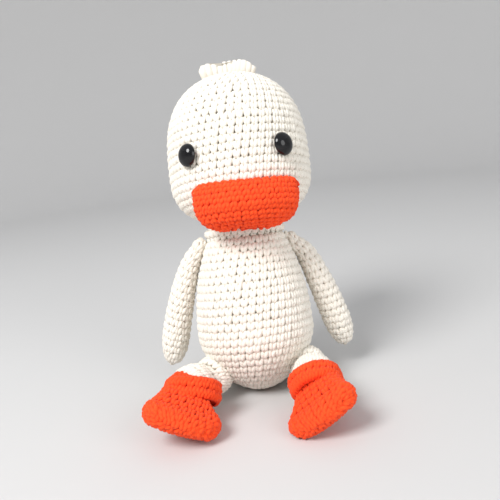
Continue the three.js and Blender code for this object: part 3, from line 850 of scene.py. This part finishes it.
def leg_grid(limb):
    stations = []
    for rise in np.radians(np.linspace(LEG_ROOT_START, LEG_ROOT_END, 26)):
        stations.append((LEG_RADIUS * math.sin(rise), LEG_RADIUS * math.cos(rise)))
    for share in np.linspace(0, 1, 16)[1:]:
        reach = LEG_RADIUS * math.sin(math.radians(LEG_ROOT_END)) + share * LEG_TUBE
        dent = math.exp(-((reach - LEG_WAIST_AT) / LEG_WAIST_LENGTH) ** 2)
        waist = LEG_RADIUS - (LEG_RADIUS - LEG_WAIST) * dent
        stations.append((reach, waist))
    for share in np.linspace(0, 1, 7)[1:]:
        stations.append((reach + LEG_TUCK * share, waist - LEG_TUCK_TAPER * share ** 1.6))
    path, radii = [(0, -reach, 0) for reach, _ in stations], [radius for _, radius in stations]
    return placed(rings_along(path, radii, LIMB_SPOTS, (0, 0, 1)), limb["leg_frame"])


for name, limb in LIMBS.items():
    form = leg_grid(limb)
    rounds = rounds_over(form, COVER_SINK, step=1)
    limb["leg"] = worked(f"leg_{name}", form, rounds, CREAM_WORK, seed=17, every=2)

# %% [markdown]
# ## Boots
# The foot of a boot is a wedge: broad, low and rounded at the toe, and as thick as the ankle behind.
# Its rounds begin along the toe's edge and close in towards the ankle. It lies on its sole.

# %% The boots' form
ANKLE_RADIUS, SOLE_DROP = 12.0, 13.9
TOE_FORWARD, TOE_HALF_WIDTH, TOE_HALF_LENGTH, TOE_HALF_HEIGHT = 22.0, 19.8, 9.6, 7.4
TOE_CORNER, TOE_BULGE = 0.4, 3.4
BOOT_WIDTH, BOOT_ROW, TOE_STITCH, TOE_EXTRA = 4.0, 3.5, 0.8, 1.0
OVAL_FLATNESS, TOE_START, THINNEST, INSTEP_SPACING = 2.2, 87, 0.5, 0.8
BOOT_BACK, INSTEP_HEIGHT, INSTEP_WIDTH = 4.0, 9.4, 10.2


def stadium(half_width, half_height):
    """Points round a flat oval, from the middle of its lower side on."""
    angles = round_angles(LIMB_SPOTS, -QUARTER)
    corner = min(half_width, half_height)
    x = corner * np.cos(angles) + (half_width - corner) * np.clip(OVAL_FLATNESS * np.cos(angles), -1, 1)
    return x, half_height * np.sin(angles)


def toe_chain(limb):
    """The chain that the boot's rounds start from, across the front of the toe."""
    half = TOE_HALF_WIDTH * (1 - TOE_CORNER) + TOE_EXTRA
    x = np.linspace(-half, half, 30)
    reach = TOE_FORWARD + TOE_HALF_LENGTH + TOE_BULGE * (1 - (x / half) ** 2) - COVER_SINK
    line = np.stack([x, -reach, 0 * x + TOE_HALF_HEIGHT - SOLE_DROP], axis=1)
    return chain_on(line, (0, -1, 0), limb["boot_frame"], BOOT_WIDTH, TOE_STITCH)


def boot_grid(limb):
    lines = []
    corner = TOE_CORNER * TOE_HALF_WIDTH
    for rise in np.radians(np.linspace(TOE_START, 0, 16)):
        half_width = TOE_HALF_WIDTH - corner + corner * math.cos(rise)
        half_height = max(TOE_HALF_HEIGHT * math.cos(rise), THINNEST)
        reach = TOE_FORWARD + TOE_HALF_LENGTH * math.sin(rise)
        lines.append((reach, half_width, TOE_HALF_HEIGHT - SOLE_DROP, half_height, TOE_BULGE))
    for share in np.linspace(0, 1, 24)[1:]:
        half_width = TOE_HALF_WIDTH + (INSTEP_WIDTH - TOE_HALF_WIDTH) * share ** INSTEP_SPACING
        top = (2 * TOE_HALF_HEIGHT - SOLE_DROP) * (1 - share) + INSTEP_HEIGHT * share
        bottom = -SOLE_DROP + (SOLE_DROP - ANKLE_RADIUS) * share ** 3
        lines.append((TOE_FORWARD * (1 - share), half_width, (top + bottom) / 2, (top - bottom) / 2,
                      TOE_BULGE * (1 - share)))
    for reach in np.linspace(0, -BOOT_BACK, 6)[1:]:
        lines.append((reach, INSTEP_WIDTH, (INSTEP_HEIGHT - ANKLE_RADIUS) / 2,
                      (INSTEP_HEIGHT + ANKLE_RADIUS) / 2, 0.0))
    rings = []
    for reach, half_width, middle, half_height, bulge in lines:
        x, z = stadium(half_width, half_height)
        y = -reach - bulge * (1 - (x / half_width) ** 2)
        rings.append(np.stack([x, y, middle + z], axis=1))
    return placed(np.array(rings), limb["boot_frame"])


for name, limb in LIMBS.items():
    form = sat_flat(boot_grid(limb))
    rounds = rounds_over(form, COVER_SINK, step=2, width=BOOT_WIDTH, height=BOOT_ROW)
    rounds = together(rounds, toe_chain(limb))
    limb["boot"] = worked(f"boot_{name}", form, rounds, ORANGE_WORK, seed=23, every=1)

# %% [markdown]
# ## Cuffs
# Round each ankle lies a folded, ribbed cuff. Its ribs run along the leg, so its stitches stand in
# straight columns with deep furrows between them.

# %% The cuffs' form
CUFF_WALL, CUFF_ROUNDING, CUFF_STEPS = 4.2, 3.4, 8
CUFF_RIBS, CUFF_ROW = 24, 3.3


def cuff_grid(limb):
    radius, half = limb["cuff_size"][0], limb["cuff_size"][1] / 2
    outline = [(half, radius - CUFF_WALL)]
    for t in np.linspace(0, QUARTER, CUFF_STEPS):
        outline.append((half - CUFF_ROUNDING * (1 - math.cos(t)),
                        radius - CUFF_ROUNDING * (1 - math.sin(t))))
    outline += [(-y, r) for y, r in outline[::-1]]
    rings = rings_round(outline[::-1], round_angles(LIMB_SPOTS, QUARTER))
    return placed(rings[:, :, [0, 2, 1]], limb["loose_cuff"])


for name, limb in LIMBS.items():
    form = sat_flat(cuff_grid(limb))
    rounds = rounds_over(form, COVER_SINK, step=CUFF_RIBS, height=CUFF_ROW)
    limb["cuff"] = worked(f"cuff_{name}", form, rounds, ORANGE_WORK, seed=29, every=1)

# %% [markdown]
# ## The beak
# The beak is a flat stuffed pouch, sewn to the head along its straight top edge. It bends round the
# face. Its stitches point the other way from the head's, because it was begun at the top.

# %% The beak's form
BEAK_HALF_WIDTH, BEAK_HALF_DEPTH, BEAK_TOP, BEAK_DROP = 27.8, 11.0, 24.6, 1.8
BEAK_FORWARD, BEAK_SHIFT, BEAK_BEND, BEAK_SQUARE = 37.0, 1.4, 51.5, 0.8
BEAK_LINES, BEAK_STITCH, BEAK_ROW, HIDDEN_DEPTH = 40, 4.1, 3.0, 1.5
BEAK_WIDTHS = [(0, 0.42), (0.05, 0.62), (0.12, 0.76), (0.22, 0.87), (0.36, 0.95), (0.5, 0.985),
               (0.65, 1), (0.85, 0.98), (0.93, 0.94), (1, 0.82)]
BEAK_DEPTHS = [(0, 0.22), (0.07, 0.5), (0.2, 0.8), (0.46, 1), (0.7, 0.9), (0.9, 0.64), (1, 0.36)]
BEAK_PLACES = [(0, 0.92), (0.14, 0.95), (0.28, 0.98), (0.46, 1), (1, 1)]


def beak_grid():
    angles = round_angles(GRID_SPOTS, QUARTER)

    def rounded(value):
        return np.sign(value) * np.abs(value) ** BEAK_SQUARE

    lines = []
    for share in np.linspace(0, 1, BEAK_LINES):
        x = BEAK_HALF_WIDTH * np.interp(share, *zip(*BEAK_WIDTHS)) * rounded(np.cos(angles))
        depth = BEAK_HALF_DEPTH * np.interp(share, *zip(*BEAK_DEPTHS))
        forward = BEAK_FORWARD * np.interp(share, *zip(*BEAK_PLACES))
        y = depth * rounded(np.sin(angles)) - forward + x * x / (2 * BEAK_BEND)
        z = -BEAK_DROP + (BEAK_TOP + BEAK_DROP) * share + 0 * angles
        lines.append(np.stack([x + HEAD_SHIFT + BEAK_SHIFT, y, z], axis=1))
    return placed(np.array(lines)[::-1], head)


def outside_head(places):
    """True for places that the head doesn't hide."""
    local = places / MM - np.array(head.translation)
    local = local @ np.array(head.to_3x3())
    radius = np.hypot(local[:, 0] - HEAD_SHIFT, local[:, 1])
    heights = np.clip(local[:, 2], HEAD_POLE, HEAD_WIDEST + HEAD_UPPER)
    return radius > np.array([head_radius(z) for z in heights]) - HIDDEN_DEPTH


beak_form = beak_grid()
beak_rounds = rounds_over(beak_form, COVER_SINK, step=2, width=BEAK_STITCH, height=BEAK_ROW)
beak_rounds = thinned(beak_rounds, outside_head)
beak_work = worked("beak", beak_form, beak_rounds, ORANGE_WORK, seed=31)

# %% [markdown]
# ## The crest
# A ruffled strip of crochet stands on the crown. It is only one fabric thick and waves to and fro,
# because it has more stitches along its edge than along its foot.

# %% The crest's form
CREST_LENGTH, CREST_FOOT, CREST_ROOT, CREST_SHIFT = 32.0, 26.0, 3.4, -0.5
CREST_WAVE, CREST_FOLDS, CREST_FORWARD, CREST_HALF = 1.5, 1.43, 2.0, 1.75
CREST_TOPS = [(0, 2.4), (0.05, 5.2), (0.16, 6.1), (0.31, 6.0), (0.37, 5.4), (0.43, 7.2),
              (0.565, 7.1), (0.74, 6.5), (0.845, 5.4), (0.91, 3.8), (1.0, 1.4)]
CREST_VALLEYS = [-0.02, 0.11, 0.217, 0.32, 0.416, 0.5, 0.593, 0.68, 0.76, 0.85, 0.93, 1.02]
CREST_SPOTS, YARN_THICK = 420, 2.6
CREST_LEVELS = (0.0, 0.15, 0.3, 0.42, 0.52, 0.6, 0.68, 0.75, 0.81, 0.87, 0.92, 0.96, 0.985, 1.0)
FOOT_TUCK, TUCK_AT, TUCK_LENGTH, END_DROP, LOBE_RISE = 1.6, 0.62, 0.17, 3.6, 0.5
CREST_CROWN = HEAD_WIDEST + HEAD_UPPER
EDGE_STARTS, EDGE_LENGTH, EDGE_ROUND, FURROW_SHARE, LOBE_SHARE = 0.55, 0.45, 2.4, 0.48, 0.52
# Painted shade on the crest: darker towards its foot on the crown and in the furrows between its
# stitches, with a little darkening all over.
DARK_TOP, DARK_LENGTH, DARK_MOST, DARK_FURROW, DARK_LEAST = 2.2, 4.0, 0.7, 0.35, 0.12


def crest_lobe(share):
    """1 in the middle of a stitch of the strip and 0 in the furrow between two."""
    place = np.interp(share, CREST_VALLEYS, range(len(CREST_VALLEYS)))
    return abs(math.sin(math.pi * place)) ** 0.7


def crest_point(share, up):
    """A point of the strip's middle: share along it, up from 0 at its foot to 1 at its edge."""
    end = abs(2 * share - 1) ** 3
    foot = FOOT_TUCK * math.exp(-(((share - TUCK_AT) / TUCK_LENGTH) ** 2))
    edge = -CREST_WAVE * math.cos((share - 0.1) * CREST_FOLDS * 2 * math.pi)
    length = CREST_FOOT + (CREST_LENGTH - CREST_FOOT) * up
    low = CREST_CROWN - CREST_ROOT - END_DROP * end
    high = CREST_CROWN + np.interp(share, *zip(*CREST_TOPS)) + LOBE_RISE * crest_lobe(share)
    return np.array(((share - 0.5) * length + HEAD_SHIFT + CREST_SHIFT,
                     foot + (edge - foot) * up ** 1.5 - CREST_FORWARD, low + (high - low) * up))


def crest_grid():
    """Loops round the strip, along its front and back along its rear, from its foot to its edge."""
    lines = []
    for up in CREST_LEVELS:
        above = max(0.0, (up - EDGE_STARTS) / EDGE_LENGTH)
        round_edge = math.sqrt(max(1 - above ** EDGE_ROUND, 0.002))
        ring = []
        for turn in round_angles(CREST_SPOTS):
            share = 0.5 - 0.5 * math.cos(turn)
            ahead = crest_point(min(share + 0.01, 1), up) - crest_point(max(share - 0.01, 0), up)
            across = np.array((-ahead[1], ahead[0], 0)) / np.hypot(ahead[0], ahead[1])
            half = CREST_HALF * round_edge * (FURROW_SHARE + LOBE_SHARE * crest_lobe(share))
            side = -math.sin(turn)
            reach = np.sign(side) * min(1.0, 1.9 * abs(side)) ** 0.7
            ring.append(crest_point(share, up) + across * half * reach)
        lines.append(ring)
    return np.array(lines)


def yarn_laid_up(mesh, place):
    """Maps the twist of the yarn on a mesh, so that it runs up the strip's stitches."""
    inverse = place.inverted()
    spots = np.array([inverse @ (v.co / MM) for v in mesh.vertices])
    corners = np.array([loop.vertex_index for loop in mesh.loops])
    laid = np.stack([spots[:, 0] / YARN_THICK, spots[:, 2]], axis=1)[corners]
    mesh.uv_layers.new(name="UVMap").data.foreach_set("uv", laid.astype(np.float32).ravel())
    shares = (spots[:, 0] - HEAD_SHIFT - CREST_SHIFT) / CREST_LENGTH + 0.5
    lobes = np.array([crest_lobe(share) for share in shares])
    # Painted shade: darker towards the crest's foot and in the furrows between its lobes.
    low = np.clip((CREST_CROWN + DARK_TOP - spots[:, 2]) / DARK_LENGTH, 0, DARK_MOST)
    mark(mesh, "tone", np.full(len(spots), 0.5))
    mark(mesh, "deep", low + DARK_FURROW * (1 - lobes) + DARK_LEAST)


crest = lining_mesh("crest_crochet", placed(crest_grid(), head), 0.0, cream_yarn, every=1)
yarn_laid_up(crest.data, head)
print("crest faces", len(crest.data.polygons))

# %% [markdown]
# ## Eyes
# Each eye is a glossy dome, turned on a lathe in the frame: a profile goes once round the eye's axis.

# %% The eyes
EYE_RADIUS, EYE_DOME, EYE_HEIGHT, EYE_SPREAD, EYE_TURN = 6.0, 4.4, 39.6, 36.5, -2.0
SHANK_RADIUS, SHANK_LENGTH, EYE_GAP, EYE_OUTWARD = 1.75, 9.0, 0.3, 9.0
EYE_STEPS, EYE_SPOTS, EYE_BEVEL, EYE_RIM = 14, 40, 0.4, 0.35


def eye_mesh(name, limb):
    azimuth = math.radians(limb["sign"] * EYE_SPREAD + EYE_TURN)
    reach = head_radius(EYE_HEIGHT) + EYE_GAP
    seat = (HEAD_SHIFT + reach * math.sin(azimuth), -reach * math.cos(azimuth), EYE_HEIGHT)
    place = turned_frame(head, seat, z=math.degrees(azimuth) + limb["sign"] * EYE_OUTWARD)
    profile = [(SHANK_LENGTH, SHANK_RADIUS), (0.0, SHANK_RADIUS), (0.0, EYE_RADIUS - EYE_BEVEL),
               (-EYE_RIM, EYE_RADIUS)]
    profile += [(-(EYE_RIM + (EYE_DOME - EYE_RIM) * math.sin(t)), EYE_RADIUS * math.cos(t))
                for t in np.linspace(0, QUARTER, EYE_STEPS)[1:-1]]
    rings = rings_round(profile, round_angles(EYE_SPOTS))[:, :, [0, 2, 1]]
    ends = np.array([(0, SHANK_LENGTH, 0), (0, -EYE_DOME, 0)], float)
    points = [*placed(rings, place).reshape(-1, 3), *placed(ends, place)]
    count, last = EYE_SPOTS, (len(profile) - 1) * EYE_SPOTS
    faces = band_faces(len(profile), count)
    faces += [((i + 1) % count, i, len(points) - 2) for i in range(count)]
    faces += [(last + i, last + (i + 1) % count, len(points) - 1) for i in range(count)]
    return smooth_mesh(name, points, faces, eye_gloss)


for name, limb in LIMBS.items():
    limb["eye"] = add_object(f"eye_{name}_dome", eye_mesh(f"eye_{name}_dome", limb))
    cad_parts[f"eye_washer_{name}"].data.materials.clear()
    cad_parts[f"eye_washer_{name}"].data.materials.append(washer_plastic)

# %% [markdown]
# ## Sewing
# The pieces are sewn together with the yarn they were made of. A turn of it lies in the groove of
# the neck, and a few turns lie under each shoulder and hip.

# %% Turns of yarn
NECK_YARN_OUT, NECK_YARN_LEVELS, NECK_YARN_SINK = 1.4, (-1.2, 0.4, 2.0), 0.9
# For each seam: how far it lies inwards, its radius, the yarn's radius and the rise of its turns.
SEAMS = {"shoulder": (5.4, 2.2, 0.6, 0.9), "hip": (12.6, 3.4, 0.7, 1.0)}
SEAM_TURNS, SEAM_SPOTS, SEAM_SIDES = 2.0, 36, 8


def yarn_turns(name, place, radius, thickness, rise):
    """A flat coil of yarn round a frame's X axis, in millimetres, as one unbroken tube."""
    spots = int(SEAM_SPOTS * SEAM_TURNS)
    angles = np.linspace(0, SEAM_TURNS * 2 * math.pi, spots)
    path = np.stack([np.linspace(0, rise, spots), radius * np.cos(angles), radius * np.sin(angles)],
                    axis=1)
    mesh = tube_mesh(name, path, np.full(spots, thickness), SEAM_SIDES)
    mesh.transform(Matrix.Scale(MM, 4) @ place)
    mesh.materials.append(cream_yarn)
    return add_object(name, mesh)


neck_profile = [(z, NECK_RADIUS + NECK_YARN_OUT) for z in NECK_YARN_LEVELS]
neck_band = rings_round(neck_profile, round_angles(GRID_SPOTS, QUARTER))
neck_rounds = rounds_over(placed(neck_band, neck), NECK_YARN_SINK)
neck_turn = crocheted("neck_yarn", neck_rounds, single_crochet, cream_yarn, seed=41)
for name, limb in LIMBS.items():
    for seam, (inwards, radius, thickness, rise) in SEAMS.items():
        place = Matrix.Translation(limb[seam] - Vector((limb["sign"] * inwards, 0, 0)))
        limb[f"{seam}_yarn"] = yarn_turns(f"{seam}_{name}_yarn", place, radius, thickness,
                                          rise * limb["sign"])

# %% [markdown]
# ## Each piece on its body
# Every piece is told which part of the duck carries it, and the solid it stands for is hidden.

# %% Bodies
def settle(piece, body, node):
    """Tells the frame a piece's body, and hides the solid it stands for."""
    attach(piece, body)
    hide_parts(node)


def settle_stuffed(work, body, name):
    """A cover, and the skin behind it, which stands for its stuffing."""
    settle(work[0], body, f"{name}_cover")
    settle(work[1], body, f"{name}_stuffing")


settle_stuffed(body_work, "torso", "body")
# The neck's turn of yarn stays where it lies, in the duck's own frame.
tuple(neck @ Vector((0, 0, -2.6)) * MM)
tuple(neck @ Vector((0, 0, 0.9)) * MM)
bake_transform(neck_turn)
print("neck yarn bends from", [round(c, 4) for c in neck @ Vector((0, 0, -2.6)) * MM])
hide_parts("neck_seam")
settle_stuffed(head_work, "head", "head")
settle_stuffed(beak_work, "head", "beak")
settle(crest, "head", "crest")
for name, limb in LIMBS.items():
    settle(limb["eye"], "head", f"eye_{name}")
    settle(limb["shoulder_yarn"], f"shoulder_{name}", f"shoulder_seam_{name}")
    settle_stuffed(limb["wing"], f"wing_{name}", f"wing_{name}")
    settle(limb["hip_yarn"], f"hip_{name}", f"hip_seam_{name}")
    settle_stuffed(limb["leg"], f"leg_{name}", f"leg_{name}")
    settle_stuffed(limb["boot"], f"leg_{name}", f"boot_{name}")
    for piece in limb["cuff"]:
        settle(piece, f"leg_{name}", f"boot_{name}_cuff")
bpy.data.objects.remove(single_crochet)
bpy.data.objects.remove(tight_crochet)

# %% [markdown]
# ## Floor and light
# A pale floor and soft lamps show the stitches without hard shadows. A large lamp high on the left
# gives the stitches their relief.

# %% Floor
FLOOR_RADIUS, SWEEP_RADIUS, WALL_TOP, FLOOR_SIDES, SWEEP_STEPS = 0.9, 0.5, 1.0, 96, 16
floor_paint = Finish("floor").surface({"Base Color": (0.60, 0.595, 0.59, 1.0), "Roughness": 0.9})


def sweep_mesh():
    """A round floor that curves up into a low wall, so that no edge shows behind the duck."""
    outline = [(FLOOR_RADIUS, 0.0)]
    for turn in np.linspace(0, QUARTER, SWEEP_STEPS)[1:]:
        outline.append((FLOOR_RADIUS + SWEEP_RADIUS * math.sin(turn),
                        SWEEP_RADIUS * (1 - math.cos(turn))))
    outline.append((FLOOR_RADIUS + SWEEP_RADIUS, WALL_TOP))
    angles = round_angles(FLOOR_SIDES)
    points = [(r * math.cos(a), r * math.sin(a), z) for r, z in outline for a in angles]
    wall = [(b, a, d, c) for a, b, c, d in band_faces(len(outline), FLOOR_SIDES)]
    return smooth_mesh("floor", points, [tuple(range(FLOOR_SIDES))] + wall, floor_paint)


floor = add_object("floor", sweep_mesh())

# %% Lamps and world
def lamp(name, place, target, size, power):
    light = bpy.data.lights.new(name, "AREA")
    light.shape, light.size, light.energy = "DISK", size, power
    made = bpy.data.objects.new(name, light)
    made.location = place
    made.rotation_euler = (Vector(target) - Vector(place)).to_track_quat("-Z", "Y").to_euler()
    bpy.context.scene.collection.objects.link(made)


lamp("key_lamp", (-0.55, -0.60, 0.90), (0, 0, 0.08), 0.55, 13.0)
lamp("fill_lamp", (0.7, -0.8, 0.45), (0, 0, 0.08), 0.7, 4.0)

world = bpy.data.worlds.new("studio")
bpy.context.scene.world = world
world.use_nodes = True
background = world.node_tree.nodes["Background"]
background.inputs["Color"].default_value = (0.95, 0.97, 1.0, 1.0)
background.inputs["Strength"].default_value = 0.62
bpy.context.scene.view_settings.view_transform = "Standard"
